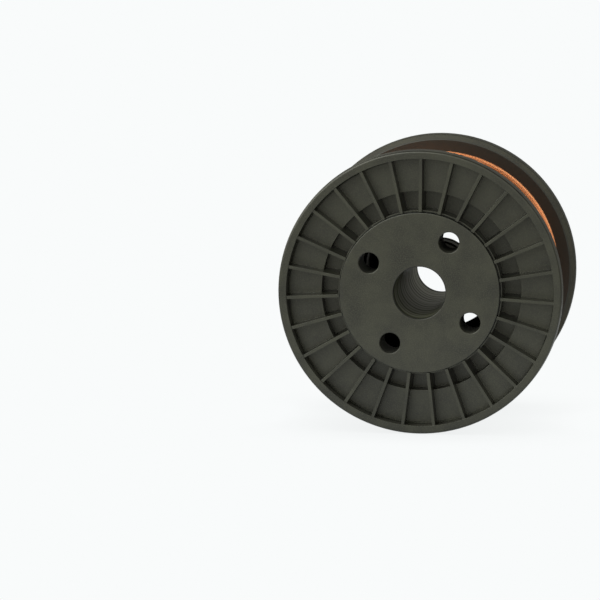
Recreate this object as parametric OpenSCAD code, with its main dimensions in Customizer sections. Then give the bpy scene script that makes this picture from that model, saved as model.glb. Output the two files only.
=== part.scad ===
/* [Overall] */
// Outside diameter of both flanges
flange_d = 250; // [235:1:300]
// Width over the two flanges
spool_w = 200; // [150:1:320]
// Thickness of one flange at its rim
flange_t = 20; // [16:0.5:30]

/* [Flange moulding] */
// Radial width of the plain rim
rim_w = 7.5; // [5:0.5:10]
// Round on the rim's outer corner
rim_round = 2; // [0.5:0.25:3]
// Round on the rim's inner corner
rim_inner_round = 1; // [0.25:0.25:3]
// Width of the bevel round the edge of the flange's inner face
rim_bevel_w = 5; // [3:0.5:7]
// How far that bevel falls back, along the axis
rim_bevel_h = 1.2; // [0.4:0.2:3]
// How much the rim tapers from its parting line to its edges, on the radius
rim_taper = 0.4; // [0:0.1:1]
// Thickness of the web between rim and drum
web_t = 4; // [3:0.5:6]
// Number of radial ribs
rib_count = 27; // [12:1:36]
// Thickness of one rib at its top
rib_t = 2.8; // [2:0.2:5]
// Angle of the first rib, from +Y towards +Z
rib_angle = 183; // [174:0.5:186]
// Draft of a rib's sides, in degrees
rib_draft = 1; // [0:0.25:2]
// How far the ribs stop below the rim's face
rib_drop = 1; // [0.5:0.5:4]
// Diameter of the step where the web drops into the drum
step_d = 176; // [160:1:180]
// How far the floor of the drum end lies below the web
step_depth = 15; // [6:0.5:24]
// Wall of the cup that plugs into the drum
cup_wall = 2.5; // [2:0.5:4]
// Wall of the collar round the hub disc
collar_wall = 1.3; // [1.1:0.1:3]
// How far the collar stops below the rim's face
collar_drop = 6; // [5:0.5:12]
// Width of the slot round the edge of the hub disc
slot_w = 0.3; // [0.2:0.1:1.5]
// Depth of that slot
slot_depth = 4; // [2:0.5:5]
// Fillet between the rim and the web
web_fillet = 1; // [0.5:0.5:5]

/* [Drum] */
// Wall of the drum tube
drum_wall = 3.5; // [3:0.5:6]

/* [Hub] */
// Diameter of the hub disc
hub_d = 141; // [134:1:148]
// Thickness of the hub disc
hub_disc_t = 5; // [4:0.5:7]
// Round on the edge of the hub disc and of its holes
hub_round = 0.8; // [0.4:0.1:1.5]
// Wall of the skirt under the hub disc
skirt_wall = 4; // [3:0.5:6]
// Diameter of the arbor hole
bore_d = 46; // [36:1:52]
// Wall of the arbor tube
tube_wall = 2; // [1.5:0.5:4]
// Wall of the socket that holds the arbor tube
socket_wall = 1.5; // [1.5:0.5:3]
// Depth of that socket below the hub disc
socket_depth = 16; // [10:1:24]
// Diameter of a drive hole
drive_hole_d = 18; // [12:1:20]
// Pitch circle diameter of the drive holes
drive_pcd = 103; // [98:1:106]
// Number of drive holes
drive_holes = 4; // [2:1:6]
// Angle of the first drive hole, from +Y towards +Z
drive_angle = 60; // [0:1:89]
// Wall of the sleeve round a drive hole
sleeve_wall = 3; // [2:0.5:4]
// Depth of that sleeve below the hub disc
sleeve_depth = 35; // [8:1:45]
// Outside diameter of the windows in the open hub
window_d = 112; // [100:1:116]
// Width of a spoke between two windows
spoke_w = 10; // [8:1:16]

/* [Winding] */
// Outside diameter of the wound copper at the flanges
wound_d = 219; // [200:1:224]
// How much the winding dips between the flanges, on its radius
wound_dip = 5.2; // [0:0.2:6]
// Turns in the outer layer
turns = 24; // [12:1:24]
// Clear gap between neighbouring turns
turn_gap = 0.6; // [0.5:0.1:1.5]

/* [Fits] */
// Radial clearance of a moulded seat
seat_gap = 0.1; // [0.05:0.05:0.2]

/* [Hidden] */

round_fn = 96;

flange_r = flange_d / 2;
half_w = spool_w / 2;
rim_inner_r = flange_r - rim_w;
inner_z = half_w - flange_t;
web_z = inner_z + web_t;
rib_top_z = half_w - rib_drop;
step_r = step_d / 2;
cup_r = step_r + cup_wall;
floor_z = web_z - step_depth;
floor_t = web_t;
hub_r = hub_d / 2;
collar_inner_r = hub_r + slot_w;
collar_r = collar_inner_r + collar_wall;
collar_top_z = half_w - collar_drop;
skirt_outer_r = collar_inner_r - seat_gap;
skirt_inner_r = skirt_outer_r - skirt_wall;
hub_under_z = half_w - hub_disc_t;
slot_z = half_w - slot_depth;

drum_inner_r = cup_r + seat_gap;
drum_r = drum_inner_r + drum_wall;

bore_r = bore_d / 2;
tube_r = bore_r + tube_wall;
socket_r = tube_r + seat_gap;
tube_half_l = half_w - hub_disc_t + 1;
drive_hole_r = drive_hole_d / 2;

wound_r = wound_d / 2;
wound_w = 2 * inner_z;

plastic = "#45453d";
dark_plastic = "#3b3c35";
copper = "#c8632b";

// Turns a shape that is drawn round Z so that it lies round the spool's X axis;
// its local X and Y become Y and Z.
module on_axis() {
    rotate([90, 0, 90]) children();
}

// Mirrors a shape from the drive side to the open side.
module other_side() {
    mirror([1, 0, 0]) children();
}

// A tube from z0 to z1.
module ring(outer_r, inner_r, z0, z1) {
    rotate_extrude($fn = round_fn)
        translate([inner_r, z0])
            square([outer_r - inner_r, z1 - z0]);
}

// Quarter-round corner as points, from the angle a0 to a1.
function arc_points(x, y, r, a0, a1, steps) =
    [for (i = [0:steps]) let (a = a0 + (a1 - a0) * i / steps) [x + r * cos(a), y + r * sin(a)]];

// Section of the rim and web: inner face bevelled at its edge, corners rounded,
// tapered both ways from the parting line, and a fillet down to the web.
module flange_section() {
    edge_r = flange_r - rim_taper;
    polygon(concat(
        [[step_r, inner_z], [edge_r - rim_bevel_w, inner_z]],
        arc_points(edge_r - rim_inner_round, inner_z + rim_bevel_h + rim_inner_round, rim_inner_round, -90, 0, 4),
        [[flange_r, inner_z + 0.4 * flange_t]],
        arc_points(edge_r - rim_round, half_w - rim_round, rim_round, 0, 90, 6),
        [[rim_inner_r, half_w]],
        arc_points(rim_inner_r - web_fillet, web_z + web_fillet, web_fillet, 0, -90, 6),
        [[step_r, web_z]]
    ));
}

// Cup that plugs into the drum and carries the hub disc: its wall, its floor with a
// ledge under the skirt, and the collar.
module cup_section() {
    translate([step_r, floor_z - floor_t])
        square([cup_wall, web_z - floor_z + floor_t]);
    translate([skirt_inner_r, floor_z - floor_t])
        square([step_r - skirt_inner_r, floor_t]);
    translate([collar_inner_r, floor_z])
        square([collar_wall, collar_top_z - floor_z]);
}

// A length of rib along X, from r0 to r1, tapered from z0 up to the ribs' top.
module rib(r0, r1, z0) {
    base_t = rib_t + 2 * (rib_top_z - z0) * tan(rib_draft);
    translate([r0, 0, 0])
        rotate([90, 0, 90])
            linear_extrude(r1 - r0)
                polygon([[-base_t / 2, z0], [base_t / 2, z0], [rib_t / 2, rib_top_z], [-rib_t / 2, rib_top_z]]);
}

// Radial ribs from the hub disc's slot over the collar to the rim, cut to the stepped
// floor.
module ribs() {
    for (i = [0:rib_count - 1])
        rotate(rib_angle + 360 * i / rib_count) {
            rib(collar_inner_r, step_r + cup_wall / 2, floor_z - floor_t / 2);
            rib(step_r + cup_wall / 2, rim_inner_r + rim_w / 2, web_z - web_t / 2);
        }
}

module flange() {
    rotate_extrude($fn = round_fn) flange_section();
    rotate_extrude($fn = round_fn) cup_section();
    ribs();
}

module drive_flange() {
    color(plastic) on_axis() flange();
}

module open_flange() {
    color(plastic) other_side() on_axis() flange();
}

module drum_tube() {
    color(dark_plastic) on_axis() ring(drum_r, drum_inner_r, -inner_z, inner_z);
}

module arbor_tube() {
    color(dark_plastic) on_axis() ring(tube_r, bore_r, -tube_half_l, tube_half_l);
}

// Section of the hub disc with its rounded edges, the skirt that stands on the
// flange's ledge and the socket for the arbor tube.
module hub_section() {
    polygon(concat(
        [[skirt_inner_r, floor_z], [skirt_outer_r, floor_z], [skirt_outer_r, slot_z], [hub_r, slot_z]],
        arc_points(hub_r - hub_round, half_w - hub_round, hub_round, 0, 90, 4),
        arc_points(bore_r + hub_round, half_w - hub_round, hub_round, 90, 180, 4),
        [[bore_r, tube_half_l], [socket_r, tube_half_l], [socket_r, hub_under_z - socket_depth],
         [socket_r + socket_wall, hub_under_z - socket_depth], [socket_r + socket_wall, hub_under_z],
         [skirt_inner_r, hub_under_z]]
    ));
}

module at_drive_holes() {
    for (i = [0:drive_holes - 1])
        rotate(drive_angle + 360 * i / drive_holes)
            translate([drive_pcd / 2, 0, 0])
                children();
}

// A drive hole with its rounded mouth.
module drive_hole_cutter() {
    mouth_r = drive_hole_r + hub_round;
    cylinder(r = drive_hole_r, h = spool_w, $fn = round_fn);
    translate([0, 0, half_w - hub_round])
        rotate_extrude($fn = round_fn)
            difference() {
                square([mouth_r, hub_round * 2]);
                translate([mouth_r, 0]) circle(r = hub_round, $fn = 32);
            }
}

module drive_hub() {
    color(plastic) on_axis()
        difference() {
            union() {
                rotate_extrude($fn = round_fn) hub_section();
                at_drive_holes()
                    translate([0, 0, hub_under_z - sleeve_depth])
                        cylinder(r = drive_hole_r + sleeve_wall, h = sleeve_depth + 1, $fn = round_fn);
            }
            at_drive_holes() drive_hole_cutter();
        }
}

// The windows of the open hub: a ring cut by as many spokes as there are drive holes,
// clear of the socket's wall.
module windows() {
    window_inner_r = socket_r + socket_wall + hub_round;
    difference() {
        ring(window_d / 2, window_inner_r, hub_under_z - 1, half_w + 1);
        for (i = [0:drive_holes - 1])
            rotate(drive_angle + 180 / drive_holes + 360 * i / drive_holes)
                translate([0, -spoke_w / 2, hub_under_z - 2])
                    cube([window_d, spoke_w, hub_disc_t + 4]);
    }
}

module open_hub() {
    color(plastic) other_side() on_axis()
        difference() {
            rotate_extrude($fn = round_fn) hub_section();
            windows();
        }
}

// Sizes of the outer layer. A turn is a hexagon with an edge outward, turn_d between
// the flats that face the next turn. Each end bends over and runs straight to the
// flange for one diameter, and the bend takes end_bend diameters along the axis.
end_bend = 0.2;
turn_d = (wound_w - turns * turn_gap) / (turns + 2 * (1 + end_bend));
turn_pitch = turn_d + turn_gap;
tube_sides = 6;
turn_r = turn_d / 2 / cos(180 / tube_sides);
rings_per_turn = 24;
function path_r(x) = wound_r - turn_r - wound_dip * (1 - pow(x / inner_z, 4));
// The pack's surface stays inside the flats of the turns' chords.
function pack_r(x) = (path_r(x) - turn_r) * cos(180 / rings_per_turn) - seat_gap;

module copper_pack() {
    steps = 20;
    inner_r = drum_r + seat_gap;
    color(copper) on_axis()
        rotate_extrude($fn = round_fn)
            polygon(concat(
                [[inner_r, inner_z], [inner_r, -inner_z]],
                [for (i = [0:steps]) let (x = inner_z * (2 * i / steps - 1)) [pack_r(x), x]]
            ));
}

helix_x0 = turn_d * (1 + end_bend) - inner_z;
function on_path(x, a) = [x, path_r(x) * cos(a), path_r(x) * sin(a)];
helix_points = [for (i = [0:turns * rings_per_turn])
    on_path(helix_x0 + turn_pitch * i / rings_per_turn, 360 * i / rings_per_turn)];
bend_a = 360 / rings_per_turn / 2;
first_bend = on_path(turn_d - inner_z, -bend_a);
last_bend = on_path(inner_z - turn_d, bend_a);
route = concat(
    [[-inner_z, first_bend[1], first_bend[2]]],
    [first_bend],
    helix_points,
    [last_bend],
    [[inner_z, last_bend[1], last_bend[2]]]
);

function unit(v) = v / norm(v);
function tangent(points, i) =
    i == 0 ? [1, 0, 0]
    : i == len(points) - 1 ? [1, 0, 0]
    : unit(unit(points[i] - points[i - 1]) + unit(points[i + 1] - points[i]));
// The outward direction at a point, square to the tube.
function outward(p, t) = let (o = [0, p[1], p[2]]) unit(o - (o * t) * t);

function tube_ring(points, i, r, sides) =
    let (t = tangent(points, i), o = outward(points[i], t), s = cross(t, o))
    [for (k = [0:sides - 1])
        let (a = 360 * k / sides)
        points[i] + r * cos(a) * o + r * sin(a) * s];

module swept_tube(points, r, sides) {
    n = len(points);
    shell = [for (i = [0:n - 1]) each tube_ring(points, i, r, sides)];
    walls = [for (i = [0:n - 2], k = [0:sides - 1])
        let (a = i * sides + k, b = i * sides + (k + 1) % sides)
        each [[a, b + sides, b], [a, a + sides, b + sides]]];
    first_cap = [for (k = [1:sides - 2]) [0, k, k + 1]];
    last = (n - 1) * sides;
    last_cap = [for (k = [1:sides - 2]) [last, last + k + 1, last + k]];
    polyhedron(points = shell, faces = concat(walls, first_cap, last_cap), convexity = 10);
}

// Least gap between a turn and the next, measured from ring to ring.
gaps = [for (i = [0:len(helix_points) - 1 - rings_per_turn])
    norm(helix_points[i + rings_per_turn] - helix_points[i]) - turn_d];
echo(least_gap_mm = min(gaps), turn_d_mm = turn_d);

module copper_outer_layer() {
    color(copper) swept_tube(route, turn_r, tube_sides);
}

drive_flange();
open_flange();
drum_tube();
arbor_tube();
drive_hub();
open_hub();
copper_pack();
copper_outer_layer();
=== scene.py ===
import math
import random

import bmesh
import bpy
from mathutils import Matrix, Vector


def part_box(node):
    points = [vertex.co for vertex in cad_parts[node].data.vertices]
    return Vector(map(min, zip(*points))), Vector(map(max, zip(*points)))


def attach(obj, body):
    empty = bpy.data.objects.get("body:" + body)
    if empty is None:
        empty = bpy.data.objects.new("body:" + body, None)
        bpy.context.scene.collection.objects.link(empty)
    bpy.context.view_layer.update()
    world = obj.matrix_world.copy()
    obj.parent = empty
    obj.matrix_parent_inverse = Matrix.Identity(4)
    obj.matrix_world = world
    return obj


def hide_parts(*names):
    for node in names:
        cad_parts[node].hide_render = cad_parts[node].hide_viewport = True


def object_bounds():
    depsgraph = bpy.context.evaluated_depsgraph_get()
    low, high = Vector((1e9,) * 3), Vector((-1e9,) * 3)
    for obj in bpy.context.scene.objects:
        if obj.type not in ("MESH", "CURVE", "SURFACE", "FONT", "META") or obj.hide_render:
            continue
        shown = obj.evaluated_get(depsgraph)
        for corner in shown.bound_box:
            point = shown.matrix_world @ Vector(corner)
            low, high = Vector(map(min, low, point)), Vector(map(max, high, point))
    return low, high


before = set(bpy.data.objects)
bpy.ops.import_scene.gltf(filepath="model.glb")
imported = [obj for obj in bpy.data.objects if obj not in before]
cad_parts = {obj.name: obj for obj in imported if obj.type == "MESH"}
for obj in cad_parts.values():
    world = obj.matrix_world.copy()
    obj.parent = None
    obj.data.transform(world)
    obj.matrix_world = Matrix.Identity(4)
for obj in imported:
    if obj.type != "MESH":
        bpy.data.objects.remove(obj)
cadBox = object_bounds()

print("frame loaded:", len(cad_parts), "nodes")

mm = 0.001
scene = bpy.context.scene

# Where the camera stands and which way it looks: the spool sits right of the middle.
view = {
    "distance": 3.2438,  # metres from the middle of the spool
    "azimuth": 95.9,  # degrees; 90 looks straight at the drive side
    "elevation": 6.89,
    "lookAzimuth": 98.0,
    "lookElevation": -7.222,
    "lens": 216,  # mm
}


def around(azimuth, elevation, distance):
    a, e = math.radians(azimuth), math.radians(elevation)
    return distance * Vector((math.cos(e) * math.sin(a), -math.cos(e) * math.cos(a), math.sin(e)))


def addCamera():
    camera = bpy.data.objects.new("camera", bpy.data.cameras.new("camera"))
    scene.collection.objects.link(camera)
    camera.location = around(view["azimuth"], view["elevation"], view["distance"])
    camera.rotation_euler = (
        math.radians(90 + view["lookElevation"]), 0, math.radians(view["lookAzimuth"]))
    camera.data.lens = view["lens"]
    scene.camera = camera


addCamera()
print("camera placed")


def linearColor(hexCode):
    def channel(v):
        return v / 12.92 if v <= 0.04045 else ((v + 0.055) / 1.055) ** 2.4
    return tuple(channel(int(hexCode[i:i + 2], 16) / 255) for i in (1, 3, 5)) + (1,)


# An input is a value, a socket, or a node, whose first enabled output is then linked.
def addNode(tree, kind, inputs=None, **settings):
    node = tree.nodes.new(kind)
    for name, value in settings.items():
        setattr(node, name, value)
    for name, value in (inputs or {}).items():
        if isinstance(value, bpy.types.Node):
            value = next(output for output in value.outputs if output.enabled)
        if isinstance(value, bpy.types.NodeSocket):
            tree.links.new(value, node.inputs[name])
        else:
            node.inputs[name].default_value = value
    return node


def newMaterial(name):
    material = bpy.data.materials.new(name)
    material.use_nodes = True
    material.node_tree.nodes.clear()
    return material, material.node_tree


# A place on the spool, how far along its axis it lies, and its distances from the
# middle of the spool and from the axis, all in metres.
def spoolPlace(tree):
    place = addNode(tree, "ShaderNodeTexCoord").outputs["Object"]
    alongAxis = addNode(tree, "ShaderNodeSeparateXYZ", {0: place}).outputs["X"]
    fromMiddle = addNode(tree, "ShaderNodeMath", {0: alongAxis}, operation="ABSOLUTE")
    across = addNode(tree, "ShaderNodeVectorMath", {0: place, 1: (0, 1, 1)}, operation="MULTIPLY")
    fromAxis = addNode(tree, "ShaderNodeVectorMath", {0: across}, operation="LENGTH")
    return place, alongAxis, fromMiddle, fromAxis


# Injection-moulded black ABS from a spark-eroded mould: matte, with a fine grain and
# a faint cloudiness where the melt cooled unevenly. The flanges' inner faces came from
# a polished mould, so that the wire slides on them, and they mirror the copper; their
# colour is painted much darker, as painted shade, and so is a band in the slot round the
# hub discs and at the bore's mouth. Inside the hubs and in the corner at the rims' foot
# the mould was left rough, and the rims themselves are scuffed by rolling.
mouldedAbs = {
    "color": "#25261e",
    "cloudColor": "#090a08",
    "cloudSize": 26,  # mm
    "cloudRange": (0.36, 0.62),  # of the noise, from cloud to plain
    "speckColor": "#3a3b2f",
    "speckRange": (0.45, 0.85),  # of the noise, from plain to speck
    "grainSize": 0.9,  # mm, drawn coarser than the real 0.3 mm so that it shows
    "grainDepth": 0.07,  # mm
    "grainStrength": 0.6,
    "roughness": 0.32,
    "specular": 0.47,
    "glossColor": "#f6f7ec",
    "ior": 1.53,
    "edgeRound": 0.55,  # mm
    "polishedTo": 80.3,  # mm from the middle of the spool
    "polishedFrom": 92,  # mm from the axis
    # painted shade: the flanges' inner faces are drawn much darker than the rest
    "innerFaceShadeColor": "#050909",
    "polishedRoughness": 0.3,
    "polishedStrength": 0.05,  # what is left of the grain there
    "insideTo": 66,  # mm from the axis
    "insideBelow": 1.5,  # mm under the hub discs' faces
    "insideRoughness": 0.75,
    # Rings round the rims, in mm: from the axis, from the middle, and how far each
    # reaches to either side in those two directions.
    "rimFoot": (117, 84.7, 0.9, 0.9),
    "rimBevel": (123, 89.3, 3.2, 9.2),
    "scuffing": 0.62,  # how far the rims' bevels and edges go towards insideRoughness
    # Painted shade in the slot round the hub discs and on the bore's wall at its mouth, in mm
    # from the axis and to either side. The shade is drawn wider than the slot's real 0.3 mm so
    # that it shows.
    "slot": (70.65, 0.45),
    "boreMouth": (23.1, 0.4),
}


def mouldedColor(tree, look, place):
    cloud = addNode(tree, "ShaderNodeTexNoise", {
        "Vector": place, "Scale": 1 / (look["cloudSize"] * mm), "Detail": 3.0, "Roughness": 0.6})
    grain = addNode(tree, "ShaderNodeTexNoise", {
        "Vector": place, "Scale": 1 / (look["grainSize"] * mm), "Detail": 2.0, "Roughness": 0.6})
    clouds = addNode(tree, "ShaderNodeMapRange", {
        "Value": cloud, "From Min": look["cloudRange"][0], "From Max": look["cloudRange"][1]})
    specks = addNode(tree, "ShaderNodeMapRange", {
        "Value": grain, "From Min": look["speckRange"][0], "From Max": look["speckRange"][1]})
    plain = addNode(tree, "ShaderNodeMix", {
        "Factor": clouds, "A": linearColor(look["cloudColor"]),
        "B": linearColor(look["color"])}, data_type="RGBA")
    color = addNode(tree, "ShaderNodeMix", {
        "Factor": specks, "A": plain, "B": linearColor(look["speckColor"])}, data_type="RGBA")
    return color, grain


def rimRing(tree, fromAxis, fromMiddle, ring):
    out, along, halfOut, halfAlong = (size * mm for size in ring)
    atRadius = addNode(tree, "ShaderNodeMath", {
        0: fromAxis, 1: out, 2: halfOut}, operation="COMPARE")
    atDepth = addNode(tree, "ShaderNodeMath", {
        0: fromMiddle, 1: along, 2: halfAlong}, operation="COMPARE")
    return addNode(tree, "ShaderNodeMath", {0: atRadius, 1: atDepth}, operation="MULTIPLY")


# Where the moulding is polished and painted dark as shade, where it is dull, and where painted
# shade darkens the slot and the bore's mouth.
def mouldedZones(tree, look, fromMiddle, fromAxis):
    within = addNode(tree, "ShaderNodeMath", {
        0: fromMiddle, 1: look["polishedTo"] * mm}, operation="LESS_THAN")
    outside = addNode(tree, "ShaderNodeMath", {
        0: fromAxis, 1: look["polishedFrom"] * mm}, operation="GREATER_THAN")
    polishedAndShaded = addNode(tree, "ShaderNodeMath", {0: within, 1: outside}, operation="MULTIPLY")

    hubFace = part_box("drive_hub")[1].x
    belowFace = addNode(tree, "ShaderNodeMath", {
        0: fromMiddle, 1: hubFace - look["insideBelow"] * mm}, operation="LESS_THAN")
    nearAxis = addNode(tree, "ShaderNodeMath", {
        0: fromAxis, 1: look["insideTo"] * mm}, operation="LESS_THAN")
    inside = addNode(tree, "ShaderNodeMath", {0: belowFace, 1: nearAxis}, operation="MULTIPLY")
    rimFoot = rimRing(tree, fromAxis, fromMiddle, look["rimFoot"])
    rimBevel = rimRing(tree, fromAxis, fromMiddle, look["rimBevel"])
    scuffed = addNode(tree, "ShaderNodeMath", {
        0: rimBevel, 1: look["scuffing"]}, operation="MULTIPLY")
    corners = addNode(tree, "ShaderNodeMath", {0: inside, 1: rimFoot}, operation="MAXIMUM")
    dull = addNode(tree, "ShaderNodeMath", {0: corners, 1: scuffed}, operation="MAXIMUM")

    # Painted shade: a dark band in the slot round the hub discs and on the bore's wall at its
    # mouth.
    slot, mouth = (
        addNode(tree, "ShaderNodeMath", {
            0: fromAxis, 1: at * mm, 2: half * mm}, operation="COMPARE")
        for at, half in (look["slot"], look["boreMouth"]))
    gapShade = addNode(tree, "ShaderNodeMath", {0: slot, 1: mouth}, operation="MAXIMUM")
    return polishedAndShaded, dull, gapShade


def makeMouldedAbs(look):
    material, tree = newMaterial("moulded black ABS")
    place, _, fromMiddle, fromAxis = spoolPlace(tree)
    color, grain = mouldedColor(tree, look, place)
    polishedAndShaded, dull, gapShade = mouldedZones(tree, look, fromMiddle, fromAxis)
    bright = addNode(tree, "ShaderNodeMapRange", {
        "Value": polishedAndShaded, "To Min": look["roughness"], "To Max": look["polishedRoughness"]})
    rough = addNode(tree, "ShaderNodeMix", {
        "Factor": dull, "A": bright, "B": look["insideRoughness"]})
    # Painted shade: the inner faces, the slot and the bore's mouth take a much darker colour.
    dark = addNode(tree, "ShaderNodeMath", {0: polishedAndShaded, 1: gapShade}, operation="MAXIMUM")
    finish = addNode(tree, "ShaderNodeMix", {
        "Factor": dark, "A": color, "B": linearColor(look["innerFaceShadeColor"])}, data_type="RGBA")
    depth = addNode(tree, "ShaderNodeMapRange", {
        "Value": polishedAndShaded, "To Min": look["grainStrength"], "To Max": look["polishedStrength"]})
    edges = addNode(tree, "ShaderNodeBevel", {"Radius": look["edgeRound"] * mm}, samples=4)
    bump = addNode(tree, "ShaderNodeBump", {
        "Height": grain, "Distance": look["grainDepth"] * mm, "Strength": depth, "Normal": edges})
    shader = addNode(tree, "ShaderNodeBsdfPrincipled", {
        "Base Color": finish, "Roughness": rough, "IOR": look["ior"],
        "Specular IOR Level": look["specular"],
        "Specular Tint": linearColor(look["glossColor"]), "Normal": bump})
    addNode(tree, "ShaderNodeOutputMaterial", {"Surface": shader})
    return material


# Extruded black ABS tube: smoother than the mouldings, with dull rings inside it where
# the haul-off gripped, at slightly uneven distances, some clear and some faint.
extrudedAbs = {
    "color": "#4d4f41",
    "ringColor": "#15160e",
    # painted shade: the tube's outside, seen through the drive holes, is drawn much darker
    "outsideShadeColor": "#0e0f0a",
    "boreTo": 23.6,  # mm from the axis
    # past this the bore's ends are painted dark with the ring colour, as painted shade, and dull
    "endShadeFrom": 90.5,  # mm from the middle of the spool, where its ends go into the hub discs
    "ringSpacing": 12.5,  # mm along the axis
    "ringShift": 1.3,  # of the spacing, at the most
    "shiftRate": 0.6,  # how fast the shift changes, per spacing
    "ringWidth": 0.2,  # of the spacing
    "ringDepth": 0.25,  # mm
    "ringStrength": (0.45, 1.0),  # the faintest ring and the clearest
    "strengthRange": (0.3, 0.7),  # of the noise, from faint to clear
    "strengthRate": 1.3,  # how fast the strength changes, per spacing
    "roughness": 0.5,
    "ringRoughness": 0.9,
    "specular": 0.7,
    "glossColor": "#e9edc4",
    "ior": 1.53,
}


# 1 between the rings, down to 0 in the middle of a clear one.
def betweenRings(tree, look, alongAxis):
    steps = addNode(tree, "ShaderNodeMath", {
        0: alongAxis, 1: 1 / (look["ringSpacing"] * mm)}, operation="MULTIPLY")
    uneven = addNode(tree, "ShaderNodeTexNoise", {
        "W": steps, "Scale": look["shiftRate"], "Detail": 1.0}, noise_dimensions="1D")
    shifted = addNode(tree, "ShaderNodeMath", {
        0: uneven, 1: look["ringShift"], 2: steps}, operation="MULTIPLY_ADD")
    fromRing = addNode(tree, "ShaderNodeMath", {
        0: shifted, 1: 0.5}, operation="PINGPONG")  # half a spacing up and down again
    strength = addNode(tree, "ShaderNodeTexNoise", {
        "W": steps, "Scale": look["strengthRate"], "Detail": 0.0}, noise_dimensions="1D")
    faintest, clearest = look["ringStrength"]
    lowest = addNode(tree, "ShaderNodeMapRange", {
        "Value": strength, "From Min": look["strengthRange"][0],
        "From Max": look["strengthRange"][1], "To Min": 1 - faintest, "To Max": 1 - clearest})
    return addNode(tree, "ShaderNodeMapRange", {
        "Value": fromRing, "From Max": look["ringWidth"], "To Min": lowest, "To Max": 1.0})


def makeExtrudedAbs(look):
    material, tree = newMaterial("extruded black ABS")
    _, alongAxis, fromMiddle, fromAxis = spoolPlace(tree)
    clear = betweenRings(tree, look, alongAxis)
    inBore = addNode(tree, "ShaderNodeMath", {
        0: fromAxis, 1: look["boreTo"] * mm}, operation="LESS_THAN")
    # Painted shade: near its ends the bore takes the dark ring colour.
    between = addNode(tree, "ShaderNodeMath", {
        0: fromMiddle, 1: look["endShadeFrom"] * mm}, operation="LESS_THAN")
    bare = addNode(tree, "ShaderNodeMath", {0: clear, 1: between}, operation="MULTIPLY")
    smooth = addNode(tree, "ShaderNodeMath", {0: bare, 1: inBore}, operation="MULTIPLY")
    plain = addNode(tree, "ShaderNodeMix", {
        "Factor": bare, "A": linearColor(look["ringColor"]),
        "B": linearColor(look["color"])}, data_type="RGBA")
    # Painted shade: outside the bore the tube takes a much darker colour.
    color = addNode(tree, "ShaderNodeMix", {
        "Factor": inBore, "A": linearColor(look["outsideShadeColor"]), "B": plain}, data_type="RGBA")
    rough = addNode(tree, "ShaderNodeMapRange", {
        "Value": smooth, "To Min": look["ringRoughness"], "To Max": look["roughness"]})
    bump = addNode(tree, "ShaderNodeBump", {"Height": clear, "Distance": look["ringDepth"] * mm})
    shader = addNode(tree, "ShaderNodeBsdfPrincipled", {
        "Base Color": color, "Roughness": rough, "IOR": look["ior"],
        "Specular IOR Level": look["specular"],
        "Specular Tint": linearColor(look["glossColor"]), "Normal": bump})
    addNode(tree, "ShaderNodeOutputMaterial", {"Surface": shader})
    return material


# Drawn copper under clear enamel: deep and warm in the shade, with the enamel's pale
# shine over it. Its shade is uneven from turn to turn where the enamel is thicker.
enamelledCopper = {
    "color": "#ffb07c",
    "deepColor": "#f59357",
    "shadeWidth": 1.5,  # mm along the axis
    "shadeLength": 111.1,  # mm across it
    "shadeRange": (0.35, 0.65),  # of the noise, from deep to bright
    "roughness": (0.14, 0.24),  # where it is bright, and where it is deep
    "roughnessRange": (0.3, 0.7),  # of the noise
    "enamel": 0.4,
    "enamelRoughness": 0.08,
    "enamelIor": 1.6,
}


def makeEnamelledCopper(look):
    material, tree = newMaterial("enamelled copper wire")
    place = addNode(tree, "ShaderNodeTexCoord").outputs["Object"]
    perWidth, perLength = 1 / (look["shadeWidth"] * mm), 1 / (look["shadeLength"] * mm)
    alongAxis = addNode(tree, "ShaderNodeMapping", {
        "Vector": place, "Scale": (perWidth, perLength, perLength)})
    shade = addNode(tree, "ShaderNodeTexNoise", {
        "Vector": alongAxis, "Scale": 1.0, "Detail": 2.0, "Roughness": 0.6})
    fade = addNode(tree, "ShaderNodeMapRange", {
        "Value": shade, "From Min": look["shadeRange"][0], "From Max": look["shadeRange"][1]})
    color = addNode(tree, "ShaderNodeMix", {
        "Factor": fade, "A": linearColor(look["deepColor"]),
        "B": linearColor(look["color"])}, data_type="RGBA")
    smoothest, roughest = look["roughness"]
    rough = addNode(tree, "ShaderNodeMapRange", {
        "Value": shade, "From Min": look["roughnessRange"][0],
        "From Max": look["roughnessRange"][1], "To Min": roughest, "To Max": smoothest})
    shader = addNode(tree, "ShaderNodeBsdfPrincipled", {
        "Base Color": color, "Metallic": 1.0, "Roughness": rough,
        "Coat Weight": look["enamel"], "Coat Roughness": look["enamelRoughness"],
        "Coat IOR": look["enamelIor"]})
    addNode(tree, "ShaderNodeOutputMaterial", {"Surface": shader})
    return material


blackMoulding = makeMouldedAbs(mouldedAbs)
blackTube = makeExtrudedAbs(extrudedAbs)
copper = makeEnamelledCopper(enamelledCopper)
finishes = {
    "drive_flange": blackMoulding,
    "open_flange": blackMoulding,
    "drive_hub": blackMoulding,
    "open_hub": blackMoulding,
    "drum_tube": blackTube,
    "arbor_tube": blackTube,
    "copper_pack": copper,
}
for node, material in finishes.items():
    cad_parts[node].data.materials.clear()
    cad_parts[node].data.materials.append(material)
print("materials on the", len(finishes), "nodes that stay")


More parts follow.
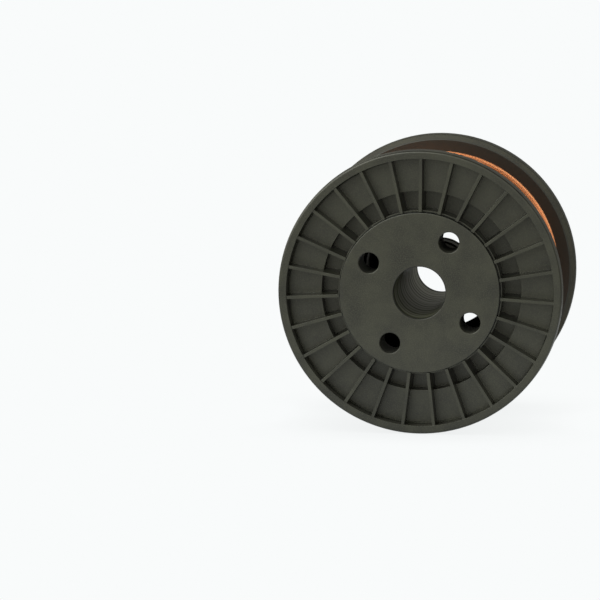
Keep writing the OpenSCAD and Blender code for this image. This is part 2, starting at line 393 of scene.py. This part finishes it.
# The outer turns of the winding, as one wire from flange to flange. The turns wander
# to and fro, some lie lower than others, and a few slip across their neighbours.
winding = {
    "wire": 0.85,  # mm
    "turns": 185,
    "stepsPerTurn": 84,
    "atFlanges": 109.5,  # mm, outer radius of the end turns
    "flare": 5.2,  # mm that the turns rise towards the flanges
    "flarePower": 4,  # the higher, the nearer to the flanges they rise
    "steps": (3, 15, 27),  # mm from each flange, where the traverse turned back
    "stepDown": 0.7,  # mm
    "stepOver": 1,  # mm in which it goes down
    "stepFade": 10,  # mm
    "wander": 0.3,  # mm to either side
    "sink": 0.25,  # mm
    "calm": 25,  # mm from each flange, over which the turns settle down
    "calmest": 0.3,  # share of the wander and the sinking that is left at the flanges
    "bendsPerTurn": 7,
    "slips": 9,
    "slipBy": 1.6,  # mm
    "slipFree": 4,  # turns at each end that none slips across
    "seed": 11,
}


def windingRadius(x, half, inset):
    rise = (x / half) ** winding["flarePower"]
    return winding["atFlanges"] * mm - inset - winding["flare"] * mm * (1 - rise)


# How much lower the turns lie just past each place where the traverse turned back.
def steppedBy(x, half):
    down = 0
    for step in winding["steps"]:
        past = (half - abs(x)) / mm - step
        if past > 0:
            fade = max(0, 1 - past / winding["stepFade"])
            down = max(down, min(past / winding["stepOver"], 1) * fade)
    return down * winding["stepDown"] * mm


# Eases from each value of a list to the next.
def smoothBetween(values, where):
    i = int(where)
    t = where - i
    t = t * t * (3 - 2 * t)
    return values[i] * (1 - t) + values[i + 1] * t


def wireCourse(half, inset):
    chance = random.Random(winding["seed"])
    turns = winding["turns"]
    bends = turns * winding["bendsPerTurn"] + 2
    aside = [chance.uniform(-1, 1) * winding["wander"] * mm for _ in range(bends)]
    sunk = [chance.random() * winding["sink"] * mm for _ in range(bends)]
    slipping = {
        chance.randrange(winding["slipFree"], turns - winding["slipFree"]): chance.choice((-1, 1))
        for _ in range(winding["slips"])}
    steps = turns * winding["stepsPerTurn"]
    for i in range(steps + 1):
        turn = i / winding["stepsPerTurn"]
        where = turn * winding["bendsPerTurn"]
        slip = slipping.get(int(turn), 0) * winding["slipBy"] * mm * math.sin(math.pi * (turn % 1))
        x = -half + 2 * half * i / steps
        loose = min(1, winding["calmest"] + (half - abs(x)) / (winding["calm"] * mm))
        x = max(-half, min(half, x + loose * smoothBetween(aside, where) + slip))
        sinking = 0 if slip else loose * smoothBetween(sunk, where)
        r = windingRadius(x, half, inset) - steppedBy(x, half) - sinking
        a = 2 * math.pi * turn
        yield (x, r * math.cos(a), r * math.sin(a))


def addTurns(name, mesh):
    turns = bpy.data.objects.new(name, mesh)
    scene.collection.objects.link(turns)
    mesh.materials.clear()
    mesh.materials.append(copper)
    mesh.polygons.foreach_set("use_smooth", [True] * len(mesh.polygons))
    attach(turns, "root")
    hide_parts("copper_outer_layer")
    return turns


def addWire():
    wireR = winding["wire"] * mm / 2
    points = list(wireCourse(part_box("copper_outer_layer")[1].x - wireR, wireR))
    curve = bpy.data.curves.new("wire course", "CURVE")
    curve.dimensions = "3D"
    curve.bevel_depth = wireR
    curve.bevel_resolution = 1  # six sides
    curve.use_fill_caps = True
    spline = curve.splines.new("POLY")
    spline.points.add(len(points) - 1)
    for point, place in zip(spline.points, points):
        point.co = (*place, 1)
    course = bpy.data.objects.new("wire course", curve)
    scene.collection.objects.link(course)
    bpy.context.view_layer.update()
    solid = course.evaluated_get(bpy.context.evaluated_depsgraph_get())
    mesh = bpy.data.meshes.new_from_object(solid)
    bpy.data.objects.remove(course)
    return addTurns("copper_wire", mesh)


wire = addWire()
triangles = sum(len(p.vertices) - 2 for p in wire.data.polygons)
print("wire wound:", winding["turns"], "turns,", triangles, "triangles")


# The turns just below, which show between those of the outer wire.
lowerTurns = {
    "profileSteps": 40,
    "roundSteps": 96,
    "below": 0.6,  # mm below the lowest course of the outer wire
    "overDrum": 0.5,  # mm that they stay clear of the drum
}


def addLowerTurns():
    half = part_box("copper_outer_layer")[1].x
    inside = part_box("drum_tube")[1].z + lowerTurns["overDrum"] * mm
    inset = (winding["wire"] / 2 + winding["sink"] + lowerTurns["below"]) * mm
    shape = bmesh.new()
    outline = [shape.verts.new((-half, 0, inside))]
    for i in range(lowerTurns["profileSteps"] + 1):
        x = half * (2 * i / lowerTurns["profileSteps"] - 1)
        outline.append(shape.verts.new((x, 0, windingRadius(x, half, inset))))
    outline.append(shape.verts.new((half, 0, inside)))
    edges = [shape.edges.new(pair) for pair in zip(outline, outline[1:] + outline[:1])]
    bmesh.ops.spin(
        shape, geom=outline + edges, cent=(0, 0, 0), axis=(1, 0, 0), angle=2 * math.pi,
        steps=lowerTurns["roundSteps"], use_merge=True)
    bmesh.ops.recalc_face_normals(shape, faces=shape.faces)
    mesh = bpy.data.meshes.new("copper_lower_turns")
    shape.to_mesh(mesh)
    shape.free()
    addTurns("copper_lower_turns", mesh)


addLowerTurns()
print("lower turns added")


# A white floor and a white studio. The camera sees both plain white. What lights the
# spool and shows in its copper is the room itself: brightest a third of the way up its
# front, dim at the floor's far edge, and dark overhead and towards the back.
studio = {
    "white": "#f9fbfb",  # what the camera sees
    "light": "#faf9ee",  # what lights the spool
    # Degrees up from the horizon, and how bright the room is there.
    "heights": (
        (-12, 0.9), (-11, 0.1), (-9, 0.1), (-8, 1.15), (4, 1.5),
        (14, 1.85), (26, 1.95), (38, 1.7), (50, 1.35), (66, 0.95)),
    "front": 50,  # azimuth of the bright side, in degrees
    "frontRange": (-0.4, 0.5),  # cosines of the angle from it, from dim to bright
    "behind": 0.3,  # of the front's brightness
    "dark": 0.18,  # how bright the dark part overhead is
    "darkAzimuth": 215,
    "darkElevation": 68,
    "darkFrom": 50,  # degrees from the middle of the dark part
    "darkTo": 30,
    "fillLight": 0.35,  # of the room's light, where it isn't mirrored
    "floorRadius": 0.65,  # metres
    "floorSides": 96,
    "floorShine": 1.2,  # brightness of the floor where something mirrors it
    "shineUnder": 0.45,  # the same under the spool
    "shineReach": 0.22,  # metres
    "shadowReach": 0.08,  # metres
    "shadowDepth": 0.12,  # how much darker the floor is right under the spool
}


# What the camera sees, directly or through glass, and what shows in a mirroring surface.
def rayKinds(tree):
    path = addNode(tree, "ShaderNodeLightPath")
    direct = addNode(tree, "ShaderNodeMath", {
        0: path.outputs["Is Camera Ray"], 1: path.outputs["Is Transmission Ray"]},
        operation="MAXIMUM")
    return direct, path.outputs["Is Glossy Ray"]


def makeStudioFloor():
    material, tree = newMaterial("white studio floor")
    white = linearColor(studio["white"])
    near = addNode(tree, "ShaderNodeAmbientOcclusion", {
        "Distance": studio["shadowReach"]}, samples=8)
    shadow = addNode(tree, "ShaderNodeMapRange", {
        "Value": near.outputs["AO"], "To Min": 1 - studio["shadowDepth"], "To Max": 1.0})
    seen = addNode(tree, "ShaderNodeEmission", {"Color": white, "Strength": shadow})
    under = addNode(tree, "ShaderNodeAmbientOcclusion", {
        "Distance": studio["shineReach"]}, samples=4)
    dimmed = addNode(tree, "ShaderNodeMapRange", {
        "Value": under.outputs["AO"], "To Min": studio["shineUnder"],
        "To Max": studio["floorShine"]})
    shine = addNode(tree, "ShaderNodeEmission", {"Color": white, "Strength": dimmed})
    lit = addNode(tree, "ShaderNodeBsdfDiffuse", {"Color": white})
    direct, glossy = rayKinds(tree)
    mirrored = addNode(tree, "ShaderNodeMixShader", {0: glossy, 1: lit, 2: shine})
    shader = addNode(tree, "ShaderNodeMixShader", {0: direct, 1: mirrored, 2: seen})
    addNode(tree, "ShaderNodeOutputMaterial", {"Surface": shader})
    return material


def addFloor():
    shape = bmesh.new()
    bmesh.ops.create_circle(
        shape, cap_ends=True, radius=studio["floorRadius"], segments=studio["floorSides"])
    bmesh.ops.translate(shape, vec=(0, 0, cadBox[0].z), verts=shape.verts)
    mesh = bpy.data.meshes.new("floor")
    shape.to_mesh(mesh)
    shape.free()
    floor = bpy.data.objects.new("floor", mesh)
    scene.collection.objects.link(floor)
    mesh.materials.append(makeStudioFloor())


# How bright the room is at each height, on a curve over the angle from -90 to 90 degrees.
def roomHeights(tree, direction):
    height = addNode(tree, "ShaderNodeSeparateXYZ", {0: direction}).outputs["Z"]
    elevation = addNode(tree, "ShaderNodeMath", {0: height}, operation="ARCSINE")
    upward = addNode(tree, "ShaderNodeMapRange", {
        "Value": elevation, "From Min": -math.pi / 2, "From Max": math.pi / 2})
    rise = addNode(tree, "ShaderNodeFloatCurve", {"Value": upward})
    curve = rise.mapping.curves[0]
    heights = studio["heights"]
    highest = max(level for _, level in heights)
    curve.points[0].location = (0, heights[0][1] / highest)
    curve.points[1].location = (1, heights[-1][1] / highest)
    for degrees, level in heights:
        curve.points.new((degrees + 90) / 180, level / highest)
    for point in curve.points:
        point.handle_type = "VECTOR"
    rise.mapping.update()
    return addNode(tree, "ShaderNodeMath", {0: rise, 1: highest}, operation="MULTIPLY")


def addWorld():
    world = bpy.data.worlds.new("white studio")
    scene.world = world
    world.use_nodes = True
    tree = world.node_tree
    tree.nodes.clear()
    direction = addNode(tree, "ShaderNodeTexCoord").outputs["Generated"]
    walls = roomHeights(tree, direction)
    toFront = addNode(tree, "ShaderNodeVectorMath", {
        0: direction, 1: around(studio["front"], 0, 1)}, operation="DOT_PRODUCT")
    side = addNode(tree, "ShaderNodeMapRange", {
        "Value": toFront, "From Min": studio["frontRange"][0],
        "From Max": studio["frontRange"][1], "To Min": studio["behind"], "To Max": 1.0},
        interpolation_type="SMOOTHSTEP")
    room = addNode(tree, "ShaderNodeMath", {0: walls, 1: side}, operation="MULTIPLY")
    darkest = around(studio["darkAzimuth"], studio["darkElevation"], 1)
    toDark = addNode(tree, "ShaderNodeVectorMath", {
        0: direction, 1: darkest}, operation="DOT_PRODUCT")
    dark = addNode(tree, "ShaderNodeMapRange", {
        "Value": toDark, "From Min": math.cos(math.radians(studio["darkFrom"])),
        "From Max": math.cos(math.radians(studio["darkTo"]))}, interpolation_type="SMOOTHSTEP")
    whole = addNode(tree, "ShaderNodeMix", {"Factor": dark, "A": room, "B": studio["dark"]})
    direct, glossy = rayKinds(tree)
    fill = addNode(tree, "ShaderNodeMapRange", {
        "Value": glossy, "To Min": studio["fillLight"], "To Max": 1.0})
    lit = addNode(tree, "ShaderNodeMath", {0: whole, 1: fill}, operation="MULTIPLY")
    strength = addNode(tree, "ShaderNodeMix", {"Factor": direct, "A": lit, "B": 1.0})
    color = addNode(tree, "ShaderNodeMix", {
        "Factor": direct, "A": linearColor(studio["light"]),
        "B": linearColor(studio["white"])}, data_type="RGBA")
    light = addNode(tree, "ShaderNodeBackground", {"Color": color, "Strength": strength})
    addNode(tree, "ShaderNodeOutputWorld", {"Surface": light})


# A round soft box in front, facing the spool.
softBox = {
    "azimuth": 58,  # degrees
    "elevation": 34,
    "distance": 3.0,  # metres
    "size": 2.8,  # metres
    "power": 62,  # watts
}


def addSoftBox():
    light = bpy.data.lights.new("soft box", "AREA")
    light.shape = "DISK"
    light.size = softBox["size"]
    light.energy = softBox["power"]
    lamp = bpy.data.objects.new("soft box", light)
    lamp.location = around(softBox["azimuth"], softBox["elevation"], softBox["distance"])
    lamp.rotation_euler = lamp.location.to_track_quat("Z", "Y").to_euler()
    scene.collection.objects.link(lamp)


addFloor()
addWorld()
addSoftBox()
scene.view_settings.view_transform = "Standard"
print("studio lit")
